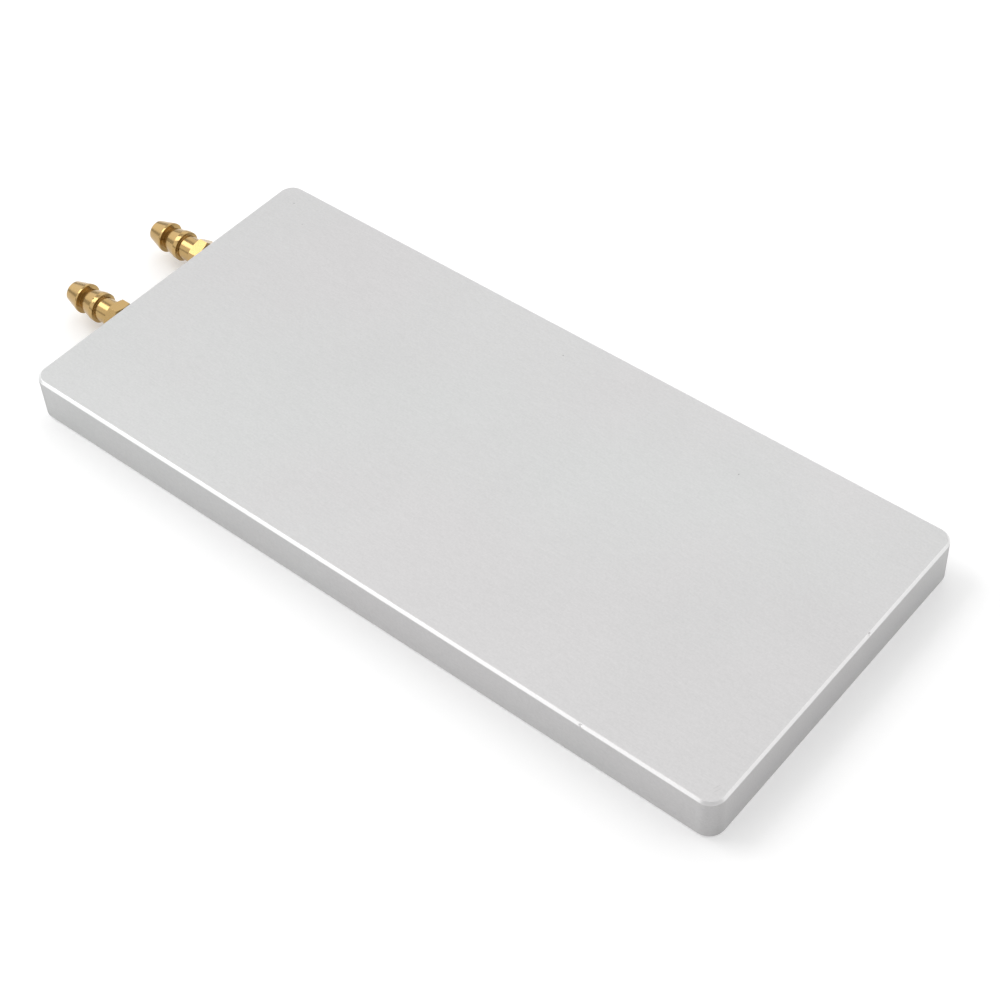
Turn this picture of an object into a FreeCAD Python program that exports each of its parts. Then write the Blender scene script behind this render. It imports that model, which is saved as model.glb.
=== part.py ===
import FreeCAD, Part
import math
import os

# Liquid cooling cold plate: a drilled aluminium slab with two brass hose barbs in one short end.
# Frame: X along the length with the ports at -X, Y across the width, Z up.
# The origin is the centre of the slab's bottom face.

Vector = FreeCAD.Vector

# ---- slab ----
plate_length = 200.0
plate_width = 90.0
plate_thickness = 12.0
corner_radius = 4.0          # the four upright corners
edge_chamfer = 0.6           # broken edge all round the top and the bottom face

# ---- drillings ----
bore_offset = 0.5            # drillings lie this far above mid-thickness, nearer the working face
passage_diameter = 6.0
passages_per_half = 4
port_passage = 2             # each port is in line with this passage, counted from the middle
header_oversize = 1.0        # cross drillings are this much larger than the passages they join
header_inset = 14.0          # header axis to the end face, at both ends
header_overrun = 0.5         # full diameter goes this far past the outermost passage
drill_point_angle = 118.0

# ---- ports and their taper thread (1/16 inch pipe thread, 27 to the inch) ----
port_spacing = 29.0
thread_diameter = 7.9        # over the crests, at the end face; the fine thread itself is left plain
thread_engaged = 7.0         # length of thread inside the plate
thread_taper = 1.0 / 16      # on the diameter
tape_thickness = 0.1
port_clearance = 0.8         # tapered bore goes this far past the end of the thread

# ---- hose barb fitting ----
fitting_bore = 4.2
hex_across_flats = 8.0
hex_standoff = 1.0           # a taper thread tightens before the hexagon meets the face
hex_length = 3.3
hex_crown_angle = 30.0       # turned crown that cuts the hexagon's corners
neck_diameter = 6.4
crest_diameter = 7.9
root_diameter = 5.7          # foot of the step behind the outer barb
tip_diameter = 5.3
inner_crest_position = 8.8   # step of the barb next to the hexagon, from the end face
inner_crest_land = 1.2
outer_crest_position = 14.5  # step of the barb at the tip, from the end face
outer_crest_land = 0.5
fitting_reach = 19.6         # tip, from the end face
tip_chamfer = 0.25
bore_mouth_chamfer = 0.3
inlet_hex_turn = 52.5        # one corner of the hexagon, from +Y towards +Z
outlet_hex_turn = 18.0

# ---- plugs ----
plug_shoulder = 0.25         # seats are this much larger in radius than the drilling they close
passage_plug_length = 6.0
header_plug_length = 8.0
plug_lead = 0.3              # lead-in chamfer on the inner end; the outer end is faced flush
separator_clearance = 0.15   # separator to the edge of the nearest passage

# ---- worked out from the sizes above ----
port_face = -plate_length / 2
back_face = plate_width / 2
near_header_x = port_face + header_inset
far_header_x = plate_length / 2 - header_inset
bore_height = plate_thickness / 2 + bore_offset
passage_pitch = port_spacing / (2 * port_passage - 1)
passage_positions = [(i - passages_per_half + 0.5) * passage_pitch for i in range(2 * passages_per_half)]
header_diameter = passage_diameter + header_oversize
passage_plug_diameter = passage_diameter + 2 * plug_shoulder
header_plug_diameter = header_diameter + 2 * plug_shoulder
outer_passage = max(passage_positions)
header_end = -(outer_passage + passage_diameter / 2 + header_overrun)
separator_length = passage_pitch - passage_diameter - 2 * separator_clearance
inlet_y = -port_spacing / 2
outlet_y = port_spacing / 2


def at_port_face(y):
    """Point on the end face at the mouth of the drilling at y."""
    return Vector(port_face, y, bore_height)


def drilling(diameter, depth, mouth, direction):
    """Drilled hole: a cylinder with the cone that the drill's point leaves."""
    point_length = diameter / 2 / math.tan(math.radians(drill_point_angle / 2))
    hole = Part.makeCylinder(diameter / 2, depth, mouth, direction)
    bottom = mouth + direction * depth
    return hole.fuse(Part.makeCone(diameter / 2, 0, point_length, bottom, direction))


def thread_radius(depth):
    """Crest radius of the taper thread at a depth inside the end face."""
    return thread_diameter / 2 - depth * thread_taper / 2


def turned(profile):
    """Solid of revolution about X from (distance outside the end face, radius) points."""
    points = [Vector(-distance, radius, 0) for distance, radius in profile]
    face = Part.Face(Part.makePolygon(points + [points[0]]))
    return face.revolve(Vector(0, 0, 0), Vector(1, 0, 0), 360)


def plug(diameter, length, mouth, direction):
    """Pressed plug from a face inwards, with a lead-in chamfer round its inner end."""
    body = Part.makeCylinder(diameter / 2, length - plug_lead, mouth, direction)
    lead = Part.makeCone(diameter / 2, diameter / 2 - plug_lead, plug_lead,
                         mouth + direction * (length - plug_lead), direction)
    return body.fuse(lead).removeSplitter()


def plate_body():
    """Slab with rounded corners and broken edges, less every drilling."""
    slab = Part.makeBox(plate_length, plate_width, plate_thickness,
                        Vector(port_face, -plate_width / 2, 0))
    corners = [edge for edge in slab.Edges if abs(edge.tangentAt(edge.FirstParameter).z) > 0.9]
    slab = slab.makeFillet(corner_radius, corners)
    rims = [edge for edge in slab.Edges
            if edge.BoundBox.ZMax < 0.001 or edge.BoundBox.ZMin > plate_thickness - 0.001]
    slab = slab.makeChamfer(edge_chamfer, rims)

    cuts = []
    for y in passage_positions:
        cuts.append(drilling(passage_diameter, far_header_x - port_face, at_port_face(y), Vector(1, 0, 0)))
        if abs(abs(y) - port_spacing / 2) > 0.001:
            cuts.append(Part.makeCylinder(passage_plug_diameter / 2, passage_plug_length,
                                          at_port_face(y), Vector(1, 0, 0)))
    for x in (near_header_x, far_header_x):
        mouth = Vector(x, back_face, bore_height)
        cuts.append(drilling(header_diameter, back_face - header_end, mouth, Vector(0, -1, 0)))
        cuts.append(Part.makeCylinder(header_plug_diameter / 2, header_plug_length, mouth, Vector(0, -1, 0)))
    for y in (inlet_y, outlet_y):
        depth = thread_engaged + port_clearance
        cuts.append(Part.makeCone(thread_radius(0) + tape_thickness, thread_radius(depth) + tape_thickness,
                                  depth, at_port_face(y), Vector(1, 0, 0)))
    return slab.cut(Part.makeCompound(cuts)).removeSplitter()


def hose_fitting(y, hex_turn):
    """Brass hose barb: taper-threaded shank, crowned hexagon, neck and two barbs, bored through."""
    crest = crest_diameter / 2
    neck = neck_diameter / 2
    hex_front = hex_standoff + hex_length
    shank = turned([(hex_standoff, 0), (hex_standoff, thread_radius(-hex_standoff)),
                    (-thread_engaged, thread_radius(thread_engaged)), (-thread_engaged, 0)])
    barbs = turned([(hex_front, 0), (hex_front, neck), (inner_crest_position, neck),
                    (inner_crest_position, crest), (inner_crest_position + inner_crest_land, crest),
                    (outer_crest_position, root_diameter / 2), (outer_crest_position, crest),
                    (outer_crest_position + outer_crest_land, crest),
                    (fitting_reach, tip_diameter / 2), (fitting_reach, 0)])
    tip = [edge for edge in barbs.Edges if edge.Curve.TypeId == "Part::GeomCircle"
           and abs(edge.BoundBox.XMin + fitting_reach) < 0.001]
    barbs = barbs.makeChamfer(tip_chamfer, tip)

    corner = hex_across_flats / 2 / math.cos(math.radians(30))
    turns = [math.radians(hex_turn + 60 * i) for i in range(7)]
    outline = [Vector(-hex_standoff, corner * math.cos(turn), corner * math.sin(turn)) for turn in turns]
    hexagon = Part.Face(Part.makePolygon(outline)).extrude(Vector(-hex_length, 0, 0))
    flat = hex_across_flats / 2 * 0.96
    rise = (corner - flat) * math.tan(math.radians(hex_crown_angle))
    crown = turned([(hex_standoff, 0), (hex_standoff, flat), (hex_standoff + rise, corner),
                    (hex_front - rise, corner), (hex_front, flat), (hex_front, 0)])
    hexagon = hexagon.common(crown)

    bore = Part.makeCylinder(fitting_bore / 2, fitting_reach + thread_engaged,
                             Vector(-fitting_reach, 0, 0), Vector(1, 0, 0))
    mouth = Part.makeCone(fitting_bore / 2 + bore_mouth_chamfer, fitting_bore / 2, bore_mouth_chamfer,
                          Vector(-fitting_reach, 0, 0), Vector(1, 0, 0))
    body = shank.fuse([hexagon, barbs]).cut([bore, mouth]).removeSplitter()
    body.translate(at_port_face(y))
    return body


def thread_tape(y):
    """Wrap of seal tape: a thin taper sleeve between the thread's crests and the tapped bore."""
    sleeve = turned([(0, thread_radius(0)), (0, thread_radius(0) + tape_thickness),
                     (-thread_engaged, thread_radius(thread_engaged) + tape_thickness),
                     (-thread_engaged, thread_radius(thread_engaged))])
    sleeve.translate(at_port_face(y))
    return sleeve


def save(name, shape):
    """One solid to one STEP file named after its node."""
    solids = shape.Solids
    print(name, "solids", len(solids), "volume", round(shape.Volume, 2), "valid", shape.isValid())
    solids[0].exportStep("parts/" + name + ".step")


os.makedirs("parts", exist_ok=True)

save("plate_body", plate_body())
save("inlet_fitting", hose_fitting(inlet_y, inlet_hex_turn))
save("outlet_fitting", hose_fitting(outlet_y, outlet_hex_turn))
save("inlet_thread_tape", thread_tape(inlet_y))
save("outlet_thread_tape", thread_tape(outlet_y))

plugged = [y for y in passage_positions if abs(abs(y) - port_spacing / 2) > 0.001]
for number, y in enumerate(plugged, 1):
    save("passage_plug_" + str(number),
         plug(passage_plug_diameter, passage_plug_length, at_port_face(y), Vector(1, 0, 0)))

save("near_header_plug", plug(header_plug_diameter, header_plug_length,
                              Vector(near_header_x, back_face, bore_height), Vector(0, -1, 0)))
save("far_header_plug", plug(header_plug_diameter, header_plug_length,
                             Vector(far_header_x, back_face, bore_height), Vector(0, -1, 0)))
save("header_separator", plug(header_diameter, separator_length,
                              Vector(near_header_x, separator_length / 2, bore_height), Vector(0, -1, 0)))
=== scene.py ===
# A liquid cooling cold plate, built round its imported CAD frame: a drilled aluminium slab, two brass hose barbs
# seated in its ports with sealing tape, and the pressed plugs that close the drillings. Metres throughout.
import math
import bmesh
import bpy
from mathutils import Matrix, Quaternion, Vector, noise


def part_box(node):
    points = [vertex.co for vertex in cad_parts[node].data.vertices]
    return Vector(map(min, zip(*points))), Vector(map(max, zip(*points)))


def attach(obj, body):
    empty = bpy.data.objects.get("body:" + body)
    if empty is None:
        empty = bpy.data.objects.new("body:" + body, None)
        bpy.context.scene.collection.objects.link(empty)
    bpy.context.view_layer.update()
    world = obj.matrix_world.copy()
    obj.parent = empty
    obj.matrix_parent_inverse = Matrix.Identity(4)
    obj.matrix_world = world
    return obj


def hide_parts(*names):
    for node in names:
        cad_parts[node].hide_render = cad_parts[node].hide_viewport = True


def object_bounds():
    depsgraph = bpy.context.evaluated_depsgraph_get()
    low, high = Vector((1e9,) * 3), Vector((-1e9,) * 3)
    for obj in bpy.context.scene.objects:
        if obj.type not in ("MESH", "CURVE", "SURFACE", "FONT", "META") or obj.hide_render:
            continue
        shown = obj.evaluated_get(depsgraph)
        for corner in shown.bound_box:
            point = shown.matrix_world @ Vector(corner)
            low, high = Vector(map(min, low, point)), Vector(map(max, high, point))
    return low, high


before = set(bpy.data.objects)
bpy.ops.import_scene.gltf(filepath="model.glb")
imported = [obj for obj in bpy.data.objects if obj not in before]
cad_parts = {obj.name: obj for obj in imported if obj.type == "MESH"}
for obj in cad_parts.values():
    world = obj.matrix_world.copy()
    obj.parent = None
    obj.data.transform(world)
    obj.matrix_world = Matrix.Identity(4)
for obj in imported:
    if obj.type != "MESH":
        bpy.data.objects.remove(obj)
cad_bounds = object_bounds()


# ---- Camera ----
# A moderate telephoto view from above the slab's front right corner, turned a little about its own axis.
# Azimuth is from straight in front towards the slab's right end, and elevation from the bench.
camera_target = Vector((0.00602, 0.00855, 0))
camera_distance = 0.49038
camera_azimuth = math.radians(41.583)
camera_elevation = math.radians(47.373)
camera_roll = math.radians(-3.093)
camera_lens = 75.85
camera_shift = (-0.0190, -0.0223)

towards_camera = Vector((math.sin(camera_azimuth) * math.cos(camera_elevation),
                         -math.cos(camera_azimuth) * math.cos(camera_elevation),
                         math.sin(camera_elevation)))
camera = bpy.data.objects.new("camera", bpy.data.cameras.new("camera"))
camera.data.lens = camera_lens
camera.data.shift_x, camera.data.shift_y = camera_shift
camera.location = camera_target + towards_camera * camera_distance
camera.rotation_euler = (towards_camera.to_track_quat("Z", "Y") @ Quaternion((0, 0, 1), camera_roll)).to_euler()
bpy.context.collection.objects.link(camera)
bpy.context.scene.camera = camera
bpy.context.scene.view_settings.view_transform = "Standard"


# ---- Studio light ----
# A pale room with one strong softbox high on the left, which gives the brass its bright lines, and weaker wide
# panels round it that fill the slab's sides. Each lamp is a plain rectangle that faces the point it is aimed at.
room_colour = (0.57, 0.57, 0.57, 1)
ports_place = Vector((-0.107, 0, 0.01))
slab_place = Vector((-0.05, 0, 0.01))
panel_power = 4

world = bpy.data.worlds.new("studio_room")
world.use_nodes = True
world.node_tree.nodes["Background"].inputs["Color"].default_value = room_colour
bpy.context.scene.world = world


def softbox(name, aim, direction, distance, width, height, strength):
    """Rectangular lamp in a direction from the point that it faces; its strength is for each area of its panel."""
    lamp = bpy.data.lights.new(name, "AREA")
    lamp.shape = "RECTANGLE"
    lamp.size = width
    lamp.size_y = height
    lamp.energy = strength * panel_power * width * height
    lamp_object = bpy.data.objects.new(name, lamp)
    away = Vector(direction).normalized()
    lamp_object.location = aim + away * distance
    lamp_object.rotation_euler = away.to_track_quat("Z", "Y").to_euler()
    lamp_object.visible_camera = False
    bpy.context.collection.objects.link(lamp_object)


softbox("key_softbox", ports_place, (-0.554, -0.191, 0.81), 1.4, 0.72, 0.80, 2.5)
softbox("left_panel", slab_place, (-0.91, 0.05, 0.41), 1.3, 1.0, 0.62, 0.68)
softbox("ceiling_panel", slab_place, (0.10, 0.42, 0.90), 1.6, 2.2, 2.2, 0.45)
softbox("back_left_panel", slab_place, (-0.48, 0.74, 0.42), 1.6, 1.4, 1.1, 0.56)
softbox("back_right_panel", slab_place, (0.75, 0.55, 0.42), 1.5, 1.2, 0.8, 0.30)
softbox("front_left_panel", slab_place, (-0.47, -0.74, 0.44), 1.5, 1.2, 0.85, 0.50)


# ---- Floor ----
# A plain white bench that fades out of sight on every side. It is not part of the object.
floor_span = 12.0
floor_gap = 0.00004
floor_colour = (0.9, 0.9, 0.9, 1)
floor_lift = 0.15


def add_node(tree, kind, inputs=(), **settings):
    """A shader node with its settings; each input is given a value or another node's output."""
    made = tree.nodes.new("ShaderNode" + kind)
    for name, value in settings.items():
        setattr(made, name, value)
    for name, value in dict(inputs).items():
        if isinstance(value, bpy.types.NodeSocket):
            tree.links.new(value, made.inputs[name])
        else:
            made.inputs[name].default_value = value
    return made


def new_material(name):
    """An empty node material and its output node."""
    made = bpy.data.materials.new(name)
    made.use_nodes = True
    made.node_tree.nodes.clear()
    return made, made.node_tree, add_node(made.node_tree, "OutputMaterial")


bench_white, tree, output = new_material("bench_white")
diffuse = add_node(tree, "BsdfDiffuse", {"Color": floor_colour})
path = add_node(tree, "LightPath")
seen = add_node(tree, "Math", {0: path.outputs["Is Camera Ray"], 1: path.outputs["Is Glossy Ray"]},
                operation="ADD")
seen = add_node(tree, "Math", {0: seen.outputs[0], 1: path.outputs["Is Transmission Ray"]}, operation="ADD",
                use_clamp=True)
lift = add_node(tree, "Math", {0: seen.outputs[0], 1: floor_lift}, operation="MULTIPLY")
glow = add_node(tree, "Emission", {"Strength": lift.outputs[0]})
both = add_node(tree, "AddShader", {0: diffuse.outputs[0], 1: glow.outputs[0]})
tree.links.new(both.outputs[0], output.inputs["Surface"])


def new_piece(name, bm):
    """A linked object at the origin, with the mesh that was built for it."""
    mesh = bpy.data.meshes.new(name)
    bm.to_mesh(mesh)
    bm.free()
    piece = bpy.data.objects.new(name, mesh)
    bpy.context.collection.objects.link(piece)
    return piece


bm = bmesh.new()
bmesh.ops.create_grid(bm, x_segments=1, y_segments=1, size=floor_span / 2)
bmesh.ops.translate(bm, vec=(0, 0, cad_bounds[0].z - floor_gap), verts=bm.verts)
floor = new_piece("bench", bm)
floor.data.materials.append(bench_white)


# ---- Slab ----
# One slab of aluminium, milled square, its upright corners rounded and its rims chamfered, then brushed and
# blasted to an even satin. Eight passages are drilled from the port end, and a header across each end from behind.
mm = 0.001
corner_radius = 4 * mm
corner_segments = 20
rim_chamfer = 0.6 * mm
rim_softening = 0.1 * mm
drill_segments = 64
passage_radius = 3.0 * mm
header_radius = 3.5 * mm
plug_shoulder = 0.25 * mm
passage_seat_depth = 6 * mm
header_seat_depth = 8 * mm
header_inset = 14 * mm
header_overrun = 0.5 * mm
port_thread_radius = 3.95 * mm
port_thread_length = 7 * mm
port_clearance = 0.8 * mm
tape_thickness = 0.1 * mm
thread_taper = 1 / 32            # on the radius
mouth_break = 0.12 * mm
drill_point = 1 / math.tan(math.radians(59))     # length of the drill's cone for each unit of radius
chamfer_turns = (0.6, 1.0)        # radians between a chamfer and the faces beside it
knock_stretch = (1.6, 1, 0.8, 1)
merge_gap = 1e-7
same_place = 1e-6

slab_low, slab_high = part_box("plate_body")
inlet_low, inlet_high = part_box("inlet_fitting")
axis_height = (inlet_low.z + inlet_high.z) / 2
port_offset = -(inlet_low.y + inlet_high.y) / 2
passage_pitch = port_offset * 2 / 3
passage_rows = [(row + 0.5) * passage_pitch for row in range(-4, 4)]
port_rows = (-port_offset, port_offset)
plug_rows = [y for y in passage_rows if min(abs(y - port) for port in port_rows) > mm]
header_places = (slab_low.x + header_inset, slab_high.x - header_inset)
header_end = -(passage_rows[-1] + passage_radius + header_overrun)


def turned(profile, segments, mouth, direction, closed=True):
    """A turned form: (distance, radius) points spun about an axis that starts at mouth and runs in a direction."""
    bm = bmesh.new()
    points = [bm.verts.new((distance, 0, radius)) for distance, radius in profile]
    edges = [bm.edges.new(pair) for pair in zip(points, points[1:])]
    if closed:
        edges.append(bm.edges.new((points[-1], points[0])))
    bmesh.ops.spin(bm, geom=points + edges, cent=(0, 0, 0), axis=(1, 0, 0), angle=2 * math.pi, steps=segments,
                   use_merge=True, use_duplicate=False)
    bmesh.ops.remove_doubles(bm, verts=bm.verts, dist=merge_gap)
    bmesh.ops.recalc_face_normals(bm, faces=bm.faces)
    turn = Vector((1, 0, 0)).rotation_difference(Vector(direction)).to_matrix().to_4x4()
    bmesh.ops.transform(bm, matrix=Matrix.Translation(mouth) @ turn, verts=bm.verts)
    return bm


def join_meshes(target, source):
    """Adds one bmesh to another and frees it."""
    spare = bpy.data.meshes.new("spare")
    source.to_mesh(spare)
    source.free()
    target.from_mesh(spare)
    bpy.data.meshes.remove(spare)


def worked_in(piece):
    """The piece with its modifiers worked into its mesh."""
    graph = bpy.context.evaluated_depsgraph_get()
    mesh = bpy.data.meshes.new_from_object(piece.evaluated_get(graph), preserve_all_data_layers=True,
                                           depsgraph=graph)
    piece.modifiers.clear()
    piece.data = mesh


def soften_normals(piece, sharp_angle):
    """Smooth shading with true flats: edges past the angle stay sharp, and large faces keep their own normal."""
    piece.data.shade_smooth()
    piece.data.set_sharp_from_angle(angle=sharp_angle)
    weights = piece.modifiers.new("flat_faces", "WEIGHTED_NORMAL")
    weights.keep_sharp = True
    weights.weight = 100


bm = bmesh.new()
slab_size = slab_high - slab_low
slab_middle = (slab_low + slab_high) / 2
bmesh.ops.create_cube(bm, size=1, matrix=Matrix.Translation(slab_middle) @ Matrix.Diagonal((*slab_size, 1)))
uprights = [e for e in bm.edges if abs(e.verts[0].co.z - e.verts[1].co.z) > mm]
bmesh.ops.bevel(bm, geom=uprights, offset=corner_radius, offset_type="OFFSET", segments=corner_segments,
                profile=0.5, affect="EDGES", material=-1)
rims = [e for e in bm.edges if abs(e.verts[0].co.z - e.verts[1].co.z) < same_place]
bmesh.ops.bevel(bm, geom=rims, offset=rim_chamfer, offset_type="OFFSET", segments=1, profile=0.5,
                affect="EDGES", material=-1)
chamfer_edges = [e for e in bm.edges if chamfer_turns[0] < e.calc_face_angle(0) < chamfer_turns[1]]
bmesh.ops.bevel(bm, geom=chamfer_edges, offset=rim_softening, offset_type="OFFSET", segments=3, profile=0.5,
                affect="EDGES", material=-1)
slab = new_piece("drilled_slab", bm)

drills = bmesh.new()
along = Vector((1, 0, 0))
inwards = Vector((0, -1, 0))
for y in passage_rows:
    mouth = Vector((slab_low.x, y, axis_height))
    depth = header_places[1] - slab_low.x
    profile = [(depth + passage_radius * drill_point, 0), (depth, passage_radius)]
    if y in plug_rows:
        seat = passage_radius + plug_shoulder
        profile += [(passage_seat_depth, passage_radius), (passage_seat_depth, seat), (mouth_break, seat),
                    (-mouth_break, seat + 2 * mouth_break)]
    else:
        port_depth = port_thread_length + port_clearance
        mouth_radius = port_thread_radius + tape_thickness
        profile += [(port_depth, passage_radius), (port_depth, mouth_radius - port_depth * thread_taper),
                    (2 * mouth_break, mouth_radius), (-mouth_break, mouth_radius + 3 * mouth_break)]
    profile += [(-mouth_break, 0)]
    join_meshes(drills, turned(profile, drill_segments, mouth, along))
for x in header_places:
    mouth = Vector((x, slab_high.y, axis_height))
    depth = slab_high.y - header_end
    seat = header_radius + plug_shoulder
    profile = [(depth + header_radius * drill_point, 0), (depth, header_radius), (header_seat_depth, header_radius),
               (header_seat_depth, seat), (mouth_break, seat), (-mouth_break, seat + 2 * mouth_break),
               (-mouth_break, 0)]
    join_meshes(drills, turned(profile, drill_segments, mouth, inwards))

# knocks picked up in handling, as shallow dents in the rims: the place and the size of each
rim_knocks = [((-0.0230, slab_high.y, slab_high.z), 0.45 * mm), ((0.0860, slab_high.y, slab_high.z), 0.40 * mm),
              ((0.0664, slab_low.y + 0.25 * mm, slab_high.z - 0.3 * mm), 0.35 * mm),
              ((slab_high.x - 0.3 * mm, 0.0107, slab_high.z - 0.25 * mm), 0.35 * mm)]
for place, size in rim_knocks:
    bmesh.ops.create_icosphere(drills, subdivisions=3, radius=size,
                               matrix=Matrix.Translation(place) @ Matrix.Diagonal(knock_stretch))

cutter = new_piece("drill_forms", drills)
drilling = slab.modifiers.new("drilling", "BOOLEAN")
drilling.operation = "DIFFERENCE"
drilling.solver = "EXACT"
drilling.use_self = True
drilling.object = cutter
worked_in(slab)
bpy.data.objects.remove(cutter)
soften_normals(slab, math.radians(32))


def new_group(name, inputs, outputs):
    """A shader node group with named inputs (name, kind, value) and outputs (name, kind)."""
    group = bpy.data.node_groups.new(name, "ShaderNodeTree")
    for title, kind, value in inputs:
        socket = group.interface.new_socket(title, in_out="INPUT", socket_type="NodeSocket" + kind)
        socket.default_value = value
    for title, kind in outputs:
        group.interface.new_socket(title, in_out="OUTPUT", socket_type="NodeSocket" + kind)
    return group, group.nodes.new("NodeGroupInput"), group.nodes.new("NodeGroupOutput")


def use_group(tree, group, **values):
    """A node group placed in a material; underscores in the names stand for spaces."""
    made = tree.nodes.new("ShaderNodeGroup")
    made.node_tree = group
    for name, value in values.items():
        socket = made.inputs[name.replace("_", " ")]
        if isinstance(value, bpy.types.NodeSocket):
            tree.links.new(value, socket)
        else:
            socket.default_value = value
    return made


# brushed and blasted grain: long fine strokes, a soft mottle and a very fine tooth, from 0 to 1
metal_grain, given, result = new_group(
    "metal_grain",
    [("Position", "Vector", (0, 0, 0)), ("Stroke Scale", "Vector", (1, 1, 1)), ("Mottle Scale", "Float", 2500),
     ("Tooth Scale", "Float", 9000)],
    [("Strokes", "Float"), ("Mottle", "Float"), ("Tooth", "Float"), ("Height", "Float")])
stretched = add_node(metal_grain, "VectorMath", {0: given.outputs["Position"], 1: given.outputs["Stroke Scale"]},
                     operation="MULTIPLY")
strokes = add_node(metal_grain, "TexNoise", {"Vector": stretched.outputs[0], "Scale": 1, "Detail": 4,
                                             "Roughness": 0.6})
mottle = add_node(metal_grain, "TexNoise", {"Vector": given.outputs["Position"],
                                            "Scale": given.outputs["Mottle Scale"], "Detail": 3, "Roughness": 0.6})
tooth = add_node(metal_grain, "TexNoise", {"Vector": given.outputs["Position"],
                                           "Scale": given.outputs["Tooth Scale"], "Detail": 1, "Roughness": 0.5})
height = add_node(metal_grain, "Math", {0: strokes.outputs["Fac"], 1: mottle.outputs["Fac"]}, operation="ADD")
height = add_node(metal_grain, "Math", {0: tooth.outputs["Fac"], 1: 0.6, 2: height.outputs[0]},
                  operation="MULTIPLY_ADD")
for title, source in (("Strokes", strokes), ("Mottle", mottle), ("Tooth", tooth)):
    metal_grain.links.new(source.outputs["Fac"], result.inputs[title])
metal_grain.links.new(height.outputs[0], result.inputs["Height"])

# scattered pits and specks of dust: a few cells out of many hold one small round mark
specks, given, result = new_group(
    "scattered_specks",
    [("Position", "Vector", (0, 0, 0)), ("Scale", "Float", 150), ("Size", "Float", 0.05), ("Share", "Float", 0.2)],
    [("Mask", "Float")])
cells = add_node(specks, "TexVoronoi", {"Vector": given.outputs["Position"], "Scale": given.outputs["Scale"]})
round_mark = add_node(specks, "MapRange", {"Value": cells.outputs["Distance"], "From Min": given.outputs["Size"],
                                           "From Max": 0, "To Min": 0, "To Max": 1}, interpolation_type="SMOOTHSTEP")
chosen = add_node(specks, "SeparateColor", {"Color": cells.outputs["Color"]})
chosen = add_node(specks, "Math", {0: chosen.outputs[0], 1: given.outputs["Share"]}, operation="LESS_THAN")
mask = add_node(specks, "Math", {0: round_mark.outputs[0], 1: chosen.outputs[0]}, operation="MULTIPLY")
specks.links.new(mask.outputs[0], result.inputs["Mask"])

# handling: broad cloudy fingermarks and hairline scratches in random directions
handling, given, result = new_group(
    "handling_marks",
    [("Position", "Vector", (0, 0, 0)), ("Cloud Scale", "Float", 25), ("Scratch Scale", "Float", 60)],
    [("Clouds", "Float"), ("Scratches", "Float")])
clouds = add_node(handling, "TexNoise", {"Vector": given.outputs["Position"], "Scale": given.outputs["Cloud Scale"],
                                         "Detail": 3, "Roughness": 0.55, "Distortion": 0.6})
wander = add_node(handling, "TexNoise", {"Vector": given.outputs["Position"], "Scale": 35, "Detail": 1})
bent = add_node(handling, "VectorMath", {0: wander.outputs["Color"], 1: (0.03, 0.03, 0.03),
                                         2: given.outputs["Position"]}, operation="MULTIPLY_ADD")
cracks = add_node(handling, "TexVoronoi", {"Vector": bent.outputs[0], "Scale": given.outputs["Scratch Scale"]},
                  feature="DISTANCE_TO_EDGE")
lines = add_node(handling, "MapRange", {"Value": cracks.outputs["Distance"], "From Min": 0.006, "From Max": 0,
                                        "To Min": 0, "To Max": 1}, interpolation_type="SMOOTHSTEP")
patches = add_node(handling, "TexNoise", {"Vector": given.outputs["Position"], "Scale": 90, "Detail": 2})
patches = add_node(handling, "MapRange", {"Value": patches.outputs["Fac"], "From Min": 0.58, "From Max": 0.68})
lines = add_node(handling, "Math", {0: lines.outputs[0], 1: patches.outputs[0]}, operation="MULTIPLY")
handling.links.new(clouds.outputs["Fac"], result.inputs["Clouds"])
handling.links.new(lines.outputs[0], result.inputs["Scratches"])


def weighted_sum(tree, base, *terms):
    """base + weight * mask + ... as a chain of multiply-add nodes; a mask is a node's output."""
    total = base
    for mask, weight in terms:
        total = add_node(tree, "Math", {0: mask, 1: weight, 2: total}, operation="MULTIPLY_ADD").outputs[0]
    return total


def tinted(tree, colour, value):
    """A colour brightened or darkened by a value near 1."""
    grey = add_node(tree, "CombineXYZ", {"X": value, "Y": value, "Z": value})
    return add_node(tree, "VectorMath", {0: colour, 1: grey.outputs[0]}, operation="MULTIPLY").outputs[0]


# one small mark of its own: an oval spot at a place, from 0 to 1; its half sizes are given as 1 / size
own_mark, given, result = new_group(
    "own_mark",
    [("Position", "Vector", (0, 0, 0)), ("Centre", "Vector", (0, 0, 0)), ("Along", "Vector", (1, 0, 0)),
     ("Across", "Vector", (0, 1, 0)), ("Through", "Vector", (0, 0, 1))],
    [("Mask", "Float")])
offset = add_node(own_mark, "VectorMath", {0: given.outputs["Position"], 1: given.outputs["Centre"]},
                  operation="SUBTRACT").outputs[0]
shares = [add_node(own_mark, "VectorMath", {0: offset, 1: given.outputs[way]},
                   operation="DOT_PRODUCT").outputs["Value"] for way in ("Along", "Across", "Through")]
spread = add_node(own_mark, "CombineXYZ", dict(zip("XYZ", shares))).outputs[0]
spread = add_node(own_mark, "VectorMath", {0: spread}, operation="LENGTH").outputs["Value"]
mask = add_node(own_mark, "MapRange", {"Value": spread, "From Min": 1, "From Max": 0.35, "To Min": 0, "To Max": 1},
                interpolation_type="SMOOTHSTEP")
own_mark.links.new(mask.outputs[0], result.inputs["Mask"])


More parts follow.
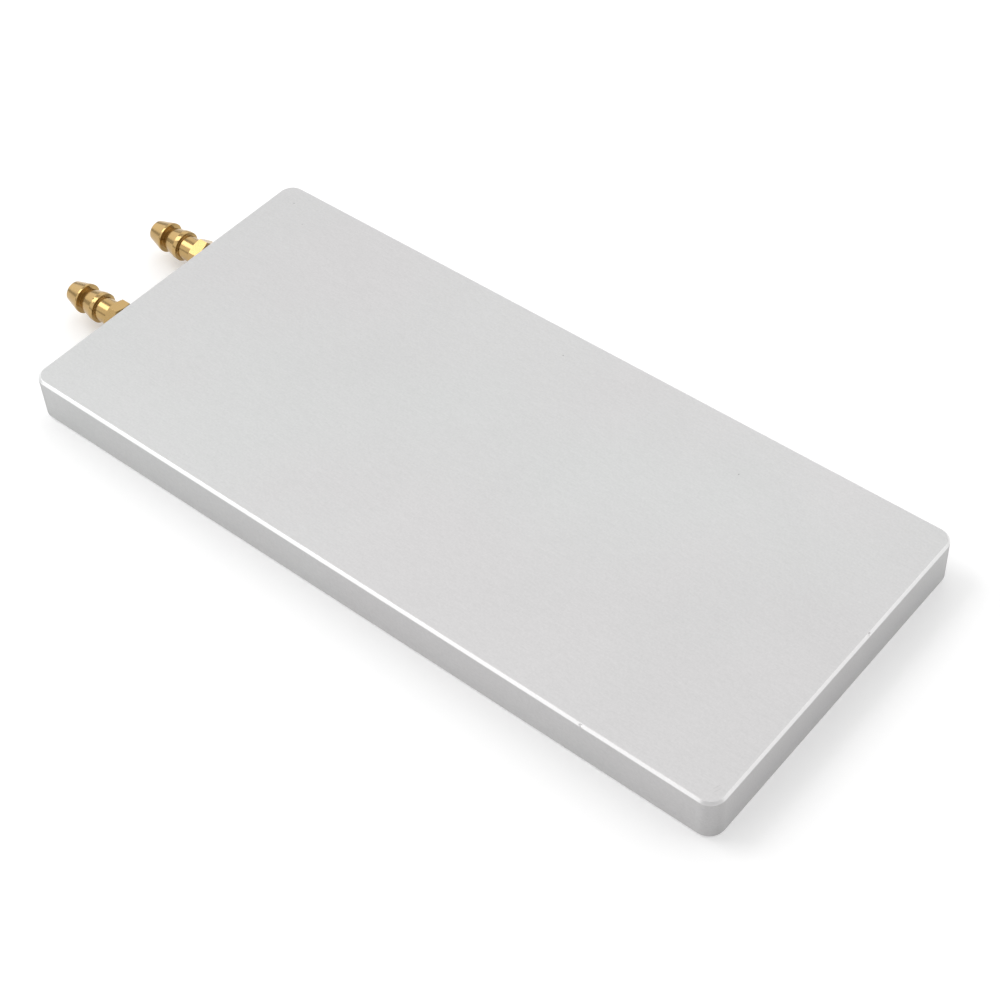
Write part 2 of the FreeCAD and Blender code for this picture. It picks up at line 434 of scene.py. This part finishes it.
def marks_on(tree, position, marks, depth):
    """All of a surface's own marks in one mask; each has a centre, a heading in degrees, and two half sizes."""
    total = 0
    for centre, heading, half_length, half_width in marks:
        ahead = Vector((math.cos(math.radians(heading)), math.sin(math.radians(heading)), 0))
        one = use_group(tree, own_mark, Position=position, Centre=centre, Along=ahead / half_length,
                        Across=Vector((-ahead.y, ahead.x, 0)) / half_width, Through=(0, 0, 1 / depth))
        total = add_node(tree, "Math", {0: one.outputs[0], 1: total}, operation="MAXIMUM").outputs[0]
    return total


satin_colour = (0.60, 0.60, 0.60)
edge_tint = (0.77, 0.77, 0.77, 1)
pink_cast = (1.006, 0.994, 0.996, 1)
green_cast = (0.995, 1.001, 0.997, 1)
top = slab_high.z
# marks of the top's own: the place, the heading in degrees, and half the length and width of each
dust_specks = [((-0.0934, 0.0393, top), 35, 0.30 * mm, 0.20 * mm),
               ((-0.0860, 0.0345, top), 20, 0.22 * mm, 0.14 * mm),
               ((-0.0033, 0.0372, top), 0, 0.26 * mm, 0.22 * mm),
               ((0.0519, 0.0310, top), 60, 0.26 * mm, 0.20 * mm)]
corner_scratches = [((0.0970, -0.0400, top), 68, 1.5 * mm, 0.18 * mm),
                    ((0.0975, -0.0408, top), 67, 1.2 * mm, 0.15 * mm)]
smear = [((0.0141, -0.0044, top), 50, 1.1 * mm, 0.8 * mm)]
mark_depth = 0.3 * mm
stroke_scale = (420, 3200, 3200)
rim_band = (0.5 * mm, 0.7 * mm)   # where the cut rim's smoother finish and painted highlight start to fade and where they end
corner_shade_fade = 1.8 * mm            # the corner walls' painted shade comes in over this far

satin_aluminium, tree, output = new_material("satin_aluminium")
place = add_node(tree, "TexCoord").outputs["Object"]
grain = use_group(tree, metal_grain, Position=place, Stroke_Scale=stroke_scale, Mottle_Scale=1900, Tooth_Scale=8000)
pits = use_group(tree, specks, Position=place, Scale=110, Size=0.02, Share=0.12)
wear = use_group(tree, handling, Position=place, Cloud_Scale=22, Scratch_Scale=30)
dust = marks_on(tree, place, dust_specks, mark_depth)
scored = marks_on(tree, place, corner_scratches, mark_depth)
smeared = marks_on(tree, place, smear, mark_depth)
# how far a point is inside the slab's outline, to give the bright-cut rims their own smoother finish and a lighter
# colour that is partly a painted highlight
inner = (slab_size.x / 2 - corner_radius, slab_size.y / 2 - corner_radius)
flat_place = add_node(tree, "VectorMath", {0: place, 1: (1, 1, 0)}, operation="MULTIPLY").outputs[0]
flat_place = add_node(tree, "VectorMath", {0: flat_place}, operation="ABSOLUTE").outputs[0]
past_core = add_node(tree, "VectorMath", {0: flat_place, 1: (*inner, 0)}, operation="SUBTRACT").outputs[0]
past_core = add_node(tree, "VectorMath", {0: past_core, 1: (0, 0, 0)}, operation="MAXIMUM").outputs[0]
outline = add_node(tree, "VectorMath", {0: past_core}, operation="LENGTH").outputs["Value"]
near_outline = add_node(tree, "MapRange", {"Value": outline, "From Min": corner_radius - rim_band[1],
                                           "From Max": corner_radius - rim_band[0]}).outputs[0]
level = add_node(tree, "SeparateXYZ", {"Vector": place}).outputs["Z"]
off_middle = add_node(tree, "Math", {0: level, 1: slab_middle.z}, operation="SUBTRACT").outputs[0]
off_middle = add_node(tree, "Math", {0: off_middle}, operation="ABSOLUTE").outputs[0]
near_face = add_node(tree, "MapRange", {"Value": off_middle, "From Min": slab_size.z / 2 - rim_band[1],
                                        "From Max": slab_size.z / 2 - rim_band[0]}).outputs[0]
rim = add_node(tree, "Math", {0: near_outline, 1: near_face}, operation="MULTIPLY").outputs[0]
# the four corners' upright walls: painted shade that makes them a little darker than the long sides
past_ways = add_node(tree, "SeparateXYZ", {"Vector": past_core})
painted_shade_corner_wall = add_node(tree, "Math", {0: past_ways.outputs["X"], 1: past_ways.outputs["Y"]},
                       operation="MINIMUM").outputs[0]
painted_shade_corner_wall = add_node(tree, "MapRange", {"Value": painted_shade_corner_wall, "From Min": 0, "From Max": corner_shade_fade}).outputs[0]
walls = add_node(tree, "Math", {0: near_outline, 1: rim}, operation="SUBTRACT").outputs[0]
painted_shade_corner_wall = add_node(tree, "Math", {0: painted_shade_corner_wall, 1: walls}, operation="MULTIPLY").outputs[0]

# the corner walls' term darkens them as painted shade
# the rim term makes the cut rims lighter: partly a bright-cut finish, partly a painted highlight
shade = weighted_sum(tree, 0.835, (grain.outputs["Strokes"], 0.14), (grain.outputs["Mottle"], 0.18),
                     (grain.outputs["Tooth"], 0.04), (wear.outputs["Clouds"], -0.05), (pits.outputs["Mask"], -0.5),
                     (wear.outputs["Scratches"], -0.03), (rim, 0.55), (painted_shade_corner_wall, -0.15), (dust, -0.42),
                     (scored, -0.10), (smeared, -0.02))
roughness = weighted_sum(tree, 0.42, (grain.outputs["Strokes"], 0.06), (grain.outputs["Mottle"], 0.05),
                         (wear.outputs["Clouds"], 0.05), (pits.outputs["Mask"], 0.3), (rim, -0.18))
relief = weighted_sum(tree, grain.outputs["Height"], (pits.outputs["Mask"], -4.0), (wear.outputs["Scratches"], -1.0),
                      (scored, -1.5))
# a very slight drift between a pinkish and a greenish grey over the slab
drift = add_node(tree, "TexNoise", {"Vector": place, "Scale": 14, "Detail": 2, "Roughness": 0.5})
drift = add_node(tree, "MapRange", {"Value": drift.outputs["Fac"], "From Min": 0.38, "From Max": 0.62}).outputs[0]
cast = add_node(tree, "Mix", data_type="RGBA")
cast.inputs[6].default_value = green_cast
cast.inputs[7].default_value = pink_cast
tree.links.new(drift, cast.inputs[0])
satin = add_node(tree, "VectorMath", {0: cast.outputs[2], 1: satin_colour}, operation="MULTIPLY").outputs[0]
bump = add_node(tree, "Bump", {"Height": relief, "Strength": 0.25, "Distance": 0.00002})
surface = add_node(tree, "BsdfPrincipled", {"Base Color": tinted(tree, satin, shade), "Metallic": 1,
                                            "Roughness": roughness, "Specular Tint": edge_tint,
                                            "Normal": bump.outputs[0]})
tree.links.new(surface.outputs[0], output.inputs["Surface"])

slab.data.materials.clear()
slab.data.materials.append(satin_aluminium)
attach(slab, "root")
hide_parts("plate_body")


# ---- Hose fittings ----
# Each is turned from hexagonal brass bar and bored through: a taper thread for the port, a crowned hexagon for the
# spanner, a plain neck, and two barbs that grip a 6 mm hose. The thread's last turn shows before the hexagon.
fitting_segments = 96
hex_apothem = 4.0 * mm
hex_corner_softening = 0.30 * mm
hex_turns = {"inlet": math.radians(52.5), "outlet": math.radians(18)}
thread_pitch = 25.4 * mm / 27
thread_depth = 0.68 * mm
thread_segments = 48
thread_start = 0.62 * mm          # outside the port face, where the thread's relief begins
thread_overrun = 1.3 * mm         # wound past the shank's inner end, then trimmed
thread_turns = 10
turn_profile = [(0, 0), (0.08, 0), (0.5, 1), (0.58, 1), (1, 0)]     # share of the pitch, and rise from root to crest
corner_edge_length = 2 * mm       # the hexagon's corners are the edges longer and further out than these
corner_edge_reach = 4.3 * mm
edge_softening = 0.06 * mm
# millimetres out from the port's face, and radius, from the thread's relief over the outside and back down the bore
fitting_outline = [
    (0.62, 3.25), (1.0, 3.25),                                # relief behind the thread
    (1.0, 3.84), (1.45, 4.62), (3.85, 4.62), (4.3, 3.84),     # bar for the hexagon, crowned at both ends
    (4.3, 3.2), (8.8, 3.2),                                   # neck
    (8.8, 3.95), (10.0, 3.95), (14.5, 2.85),                  # inner barb
    (14.5, 3.95), (15.0, 3.95), (19.35, 2.72),                # outer barb
    (19.6, 2.45), (19.6, 2.4), (19.3, 2.1),                   # tip, and the bore's countersunk mouth
    (-7.0, 2.1)]                                              # the bore's inner end
softened_corners = range(2, 16)


def rounded_outline(points, corners, radius):
    """The outline with the given corners cut back to small rounds by a vertex bevel."""
    bm = bmesh.new()
    made = [bm.verts.new((distance * mm, 0, height * mm)) for distance, height in points]
    for pair in zip(made, made[1:]):
        bm.edges.new(pair)
    bmesh.ops.bevel(bm, geom=[made[i] for i in corners], offset=radius, offset_type="OFFSET", segments=3,
                    profile=0.5, affect="VERTICES", material=-1)
    return bm


for name, side in (("inlet", -1), ("outlet", 1)):
    bm = rounded_outline(fitting_outline, softened_corners, edge_softening)
    bmesh.ops.spin(bm, geom=bm.verts[:] + bm.edges[:], cent=(0, 0, 0), axis=(1, 0, 0), angle=2 * math.pi,
                   steps=fitting_segments, use_merge=True, use_duplicate=False)
    bmesh.ops.remove_doubles(bm, verts=bm.verts, dist=merge_gap)
    # the fitting is made pointing along +X and turned round at the end, so its turn is taken the other way
    turn = math.pi - hex_turns[name]
    bmesh.ops.rotate(bm, verts=bm.verts, cent=(0, 0, 0), matrix=Matrix.Rotation(turn, 3, "X"))

    # the six flats: each is a plane that cuts the turned bar, closed by one face
    for flat in range(6):
        angle = turn + math.radians(30 + 60 * flat)
        across = Vector((0, math.cos(angle), math.sin(angle)))
        cut = bmesh.ops.bisect_plane(bm, geom=bm.verts[:] + bm.edges[:] + bm.faces[:], dist=merge_gap,
                                     plane_co=across * hex_apothem, plane_no=across, clear_outer=True)
        border = [e for e in cut["geom_cut"] if isinstance(e, bmesh.types.BMEdge) and e.is_boundary]
        bmesh.ops.edgeloop_fill(bm, edges=border)

    # the taper thread: one turn's profile wound along the shank, trimmed square at both ends
    thread = bmesh.new()
    points = [thread.verts.new((share * thread_pitch - port_thread_length - thread_overrun, 0,
                                port_thread_radius - (1 - rise) * thread_depth)) for share, rise in turn_profile]
    edges = [thread.edges.new(pair) for pair in zip(points, points[1:])]
    bmesh.ops.spin(thread, geom=points + edges, cent=(0, 0, 0), axis=(1, 0, 0), angle=2 * math.pi * thread_turns,
                   dvec=(thread_pitch / thread_segments, 0, 0), steps=thread_segments * thread_turns,
                   use_duplicate=False)
    bmesh.ops.remove_doubles(thread, verts=thread.verts, dist=same_place)
    for v in thread.verts:
        v.co.yz *= 1 + v.co.x * thread_taper / v.co.yz.length
    bmesh.ops.bisect_plane(thread, geom=thread.verts[:] + thread.edges[:] + thread.faces[:], dist=merge_gap,
                           plane_co=(thread_start, 0, 0), plane_no=(1, 0, 0), clear_outer=True)
    bmesh.ops.bisect_plane(thread, geom=thread.verts[:] + thread.edges[:] + thread.faces[:], dist=merge_gap,
                           plane_co=(-port_thread_length, 0, 0), plane_no=(-1, 0, 0), clear_outer=True)
    join_meshes(bm, thread)
    for end in (thread_start, -port_thread_length):
        open_edges = [e for e in bm.edges
                      if e.is_boundary and all(abs(v.co.x - end) < same_place for v in e.verts)]
        bmesh.ops.triangle_fill(bm, edges=open_edges, use_beauty=True, normal=(1, 0, 0))
    bmesh.ops.recalc_face_normals(bm, faces=bm.faces)
    corners = [e for e in bm.edges if abs(e.verts[0].co.x - e.verts[1].co.x) > corner_edge_length
               and min(v.co.yz.length for v in e.verts) > corner_edge_reach]
    bmesh.ops.bevel(bm, geom=corners, offset=hex_corner_softening, offset_type="OFFSET", segments=3, profile=0.5,
                    affect="EDGES", material=-1)
    bmesh.ops.transform(bm, matrix=Matrix.Rotation(math.pi, 4, "Z"), verts=bm.verts)

    centre = Vector((slab_low.x, side * port_offset, axis_height))
    bmesh.ops.translate(bm, vec=centre, verts=bm.verts)
    from_axis = bm.verts.layers.float_vector.new("from_axis")
    for v in bm.verts:
        v[from_axis] = v.co - centre
    fitting = new_piece(name + "_hose_barb", bm)
    soften_normals(fitting, math.radians(35))
    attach(fitting, "root")
    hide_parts(name + "_fitting")

brass_colour = (0.475, 0.32, 0.133)
# a dark spot at a small knock in the inlet's inner barb crest: the dent is not in the mesh, and its darkness is
# painted shade
barb_knock_shade_spot = ((slab_low.x - 10.0 * mm, -port_offset - 1.48 * mm, axis_height + 3.66 * mm), 0, 0.28 * mm, 0.28 * mm)
knock_spot_depth = 0.5 * mm

turned_brass, tree, output = new_material("turned_brass")
place = add_node(tree, "TexCoord").outputs["Object"]
on_piece = add_node(tree, "Attribute", attribute_name="from_axis").outputs["Vector"]
split = add_node(tree, "SeparateXYZ", {"Vector": on_piece})
around = add_node(tree, "CombineXYZ", {"Y": split.outputs["Y"], "Z": split.outputs["Z"]})
radius = add_node(tree, "VectorMath", {0: around.outputs[0]}, operation="LENGTH").outputs["Value"]
tool_path = add_node(tree, "CombineXYZ", {"X": split.outputs["X"], "Y": radius})
rings = add_node(tree, "TexNoise", {"Vector": tool_path.outputs[0], "Scale": 9000, "Detail": 3, "Roughness": 0.7})
grain = use_group(tree, metal_grain, Position=place, Stroke_Scale=(2600, 2600, 2600), Mottle_Scale=700,
                  Tooth_Scale=9000)
pits = use_group(tree, specks, Position=place, Scale=420, Size=0.05, Share=0.1)
wear = use_group(tree, handling, Position=place, Cloud_Scale=160, Scratch_Scale=260)
rubbed = add_node(tree, "MapRange", {"Value": radius, "From Min": 3.6 * mm, "From Max": 3.95 * mm}).outputs[0]
# the knock's dark spot is painted shade
knock_painted_shade = marks_on(tree, place, [barb_knock_shade_spot], knock_spot_depth)
shade = weighted_sum(tree, 1.0, (rings.outputs["Fac"], 0.06), (wear.outputs["Clouds"], -0.10),
                     (pits.outputs["Mask"], -0.6), (rubbed, 0.03), (knock_painted_shade, -0.85))
roughness = weighted_sum(tree, 0.10, (rings.outputs["Fac"], 0.10), (wear.outputs["Clouds"], 0.10),
                         (pits.outputs["Mask"], 0.3), (wear.outputs["Scratches"], 0.15))
relief = weighted_sum(tree, rings.outputs["Fac"], (grain.outputs["Tooth"], 0.15), (pits.outputs["Mask"], -2.0),
                      (wear.outputs["Scratches"], -0.5))
bump = add_node(tree, "Bump", {"Height": relief, "Strength": 0.3, "Distance": 0.00001})
surface = add_node(tree, "BsdfPrincipled", {"Base Color": tinted(tree, brass_colour, shade), "Metallic": 1,
                                            "Roughness": roughness, "Normal": bump.outputs[0]})
tree.links.new(surface.outputs[0], output.inputs["Surface"])
for name in ("inlet", "outlet"):
    bpy.data.objects[name + "_hose_barb"].data.materials.append(turned_brass)


# ---- Sealing tape ----
# White plumber's tape wound round each taper thread before it is screwed in. It fills the gap to the port's wall,
# and its torn edge stands a little proud of the mouth.
tape_proud = 0.3 * mm
tape_gap = 0.01 * mm              # left between the tape and the metal on both sides of it
tape_segments = 120
tape_colour = (0.86, 0.86, 0.84)
torn_waves = ((3, 5, 1), (11, 9, 0.5))     # how fine, how far apart on the two fittings, and how strong

for name, side in (("inlet", -1), ("outlet", 1)):
    inner_radius = port_thread_radius + tape_gap
    outer_radius = port_thread_radius + tape_thickness - tape_gap
    ends = [(-tape_proud, 0), (0.1 * mm, 0)] + [(step * mm, 0) for step in range(1, 8)]
    inner_side = [(distance, inner_radius - distance * thread_taper) for distance, _ in ends]
    outer_side = [(distance, outer_radius - distance * thread_taper) for distance, _ in reversed(ends)]
    centre = Vector((slab_low.x, side * port_offset, axis_height))
    bm = turned(inner_side + outer_side, tape_segments, centre, along)
    for v in bm.verts:
        if v.co.x < centre.x - 0.5 * tape_proud:
            around = (v.co - centre).yz.normalized()
            torn = sum(strength * noise.noise(Vector((around.x * fine, around.y * fine, side * apart)))
                       for fine, apart, strength in torn_waves)
            v.co.x += tape_proud * (0.25 + 0.6 * torn)
    wrap = new_piece(name + "_tape_wrap", bm)
    soften_normals(wrap, math.radians(40))
    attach(wrap, "root")
    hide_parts(name + "_thread_tape")

thread_seal_tape, tree, output = new_material("thread_seal_tape")
place = add_node(tree, "TexCoord").outputs["Object"]
creases = add_node(tree, "TexNoise", {"Vector": place, "Scale": 1400, "Detail": 4, "Roughness": 0.65,
                                      "Distortion": 1.5})
shade = weighted_sum(tree, 0.93, (creases.outputs["Fac"], 0.12))
roughness = weighted_sum(tree, 0.45, (creases.outputs["Fac"], 0.3))
bump = add_node(tree, "Bump", {"Height": creases.outputs["Fac"], "Strength": 0.5, "Distance": 0.00003})
surface = add_node(tree, "BsdfPrincipled", {"Base Color": tinted(tree, tape_colour, shade),
                                            "Roughness": roughness, "Normal": bump.outputs[0],
                                            "Subsurface Weight": 0.15, "Subsurface Scale": 0.0003})
tree.links.new(surface.outputs[0], output.inputs["Surface"])
for name in ("inlet", "outlet"):
    bpy.data.objects[name + "_tape_wrap"].data.materials.append(thread_seal_tape)


# ---- Plugs ----
# Short turned aluminium plugs, pressed into the counterbored mouths of the drillings and left flush. Their outer
# ends carry the lathe's facing marks and a small centre pip.
plug_lead = 0.3 * mm
pip_radius = 0.35 * mm
pip_depth = 0.12 * mm
facing_pitch = 0.18 * mm
facing_colour = (0.68, 0.685, 0.69)


def pressed_plug(name, radius, length, mouth, direction, node):
    """One plug from a face inwards: softened outer rim, centre pip and lead-in chamfer."""
    rim = mouth_break
    half_way = 0.3 * rim
    bm = turned([(pip_depth, 0), (0, pip_radius), (0, radius - rim), (half_way, radius - half_way), (rim, radius),
                 (length - plug_lead, radius), (length, radius - plug_lead), (length, 0)],
                drill_segments, mouth, direction, closed=False)
    from_axis = bm.verts.layers.float_vector.new("from_axis")
    for v in bm.verts:
        v[from_axis] = v.co - mouth
    plug = new_piece(name, bm)
    soften_normals(plug, math.radians(15))
    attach(plug, "root")
    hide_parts(node)
    return plug


plugs = [pressed_plug("pressed_passage_plug_%d" % number, passage_radius + plug_shoulder, passage_seat_depth,
                      Vector((slab_low.x, y, axis_height)), along, "passage_plug_%d" % number)
         for number, y in enumerate(plug_rows, 1)]
plugs += [pressed_plug("pressed_" + node, header_radius + plug_shoulder, header_seat_depth,
                       Vector((x, slab_high.y, axis_height)), inwards, node)
          for x, node in zip(header_places, ("near_header_plug", "far_header_plug"))]

turned_aluminium, tree, output = new_material("turned_aluminium")
place = add_node(tree, "TexCoord").outputs["Object"]
on_piece = add_node(tree, "Attribute", attribute_name="from_axis").outputs["Vector"]
radius = add_node(tree, "VectorMath", {0: on_piece}, operation="LENGTH").outputs["Value"]
feed = add_node(tree, "Math", {0: radius, 1: 2 * math.pi / facing_pitch}, operation="MULTIPLY").outputs[0]
feed = add_node(tree, "Math", {0: feed}, operation="SINE").outputs[0]
grain = use_group(tree, metal_grain, Position=place, Stroke_Scale=(2500, 2500, 2500), Mottle_Scale=1500,
                  Tooth_Scale=8000)
wear = use_group(tree, handling, Position=place, Cloud_Scale=120, Scratch_Scale=150)
shade = weighted_sum(tree, 0.95, (feed, 0.02), (grain.outputs["Mottle"], 0.08), (wear.outputs["Clouds"], -0.05))
roughness = weighted_sum(tree, 0.26, (grain.outputs["Mottle"], 0.10), (wear.outputs["Clouds"], 0.08))
relief = weighted_sum(tree, grain.outputs["Mottle"], (feed, 0.5))
bump = add_node(tree, "Bump", {"Height": relief, "Strength": 0.4, "Distance": 0.00002})
surface = add_node(tree, "BsdfPrincipled", {"Base Color": tinted(tree, facing_colour, shade), "Metallic": 1,
                                            "Roughness": roughness, "Normal": bump.outputs[0]})
tree.links.new(surface.outputs[0], output.inputs["Surface"])
for plug in plugs:
    plug.data.materials.append(turned_aluminium)


# ---- Header separator ----
# A dowel pressed half way along the near header, so that the coolant has to run down one side of the slab and back
# up the other. It is the CAD solid itself, hidden inside the slab, with the plugs' finish.
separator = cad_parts["header_separator"]
separator.data.materials[0] = turned_aluminium
